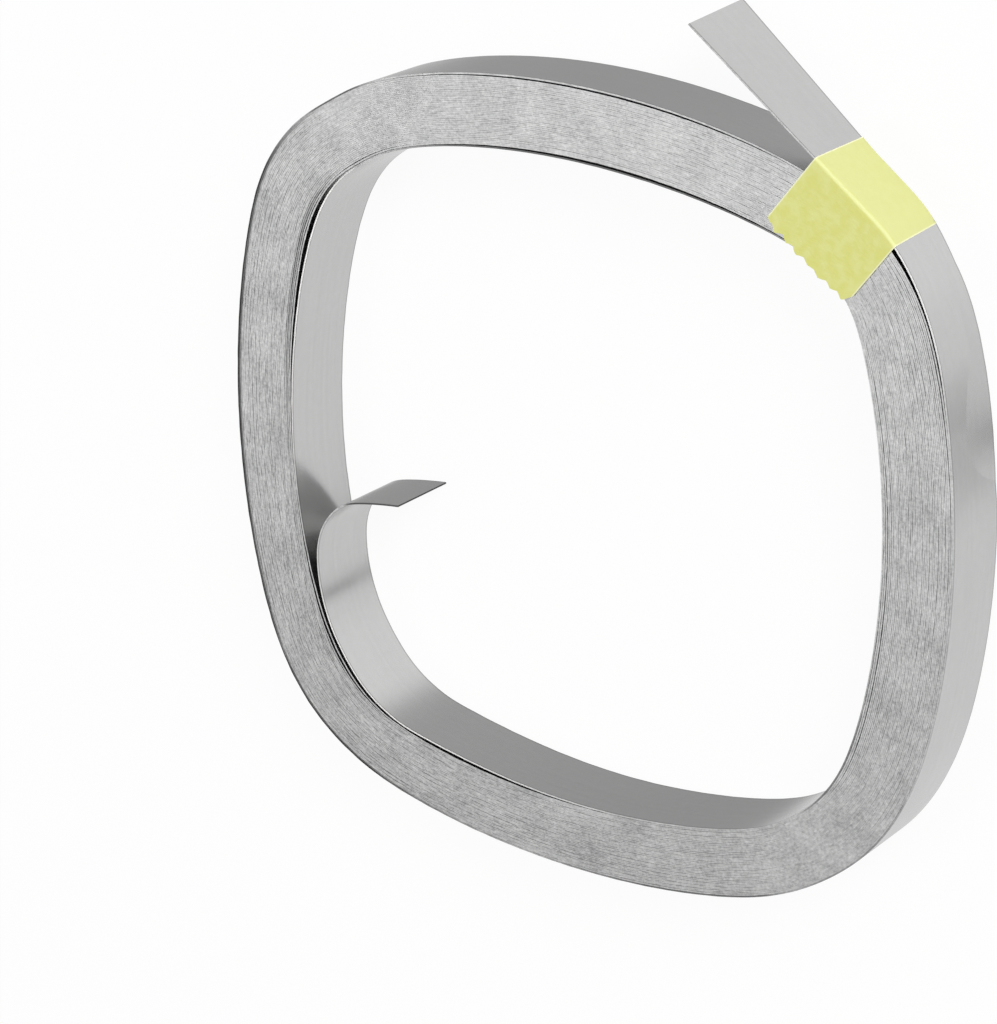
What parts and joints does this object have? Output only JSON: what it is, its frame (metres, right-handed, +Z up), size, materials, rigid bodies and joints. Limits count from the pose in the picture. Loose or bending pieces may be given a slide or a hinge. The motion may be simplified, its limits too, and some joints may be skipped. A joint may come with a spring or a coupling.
{
  "type": "nickel strip coil",
  "caption": "Thin flat nickel strip wound into a rounded-square coil with free tails at its two ends, held by one band of masking tape.",
  "frame": {"origin": "middle of the bounding box's underside, on the floor that the coil lies on", "axes": "+Z up along the coil's axis, across the strip's width; +X and +Y square to the coil's flat sides, with the outer tail and the tape at the +X +Y corner"},
  "size_m": [0.0808, 0.0854, 0.0083],
  "materials": {
    "nickel": "satin cold-rolled nickel",
    "tape": "pale yellow creped masking tape, matt"
  },
  "bodies": {
    "root": {"nickel_strip": "nickel", "masking_tape": "tape"}
  },
  "joints": []
}
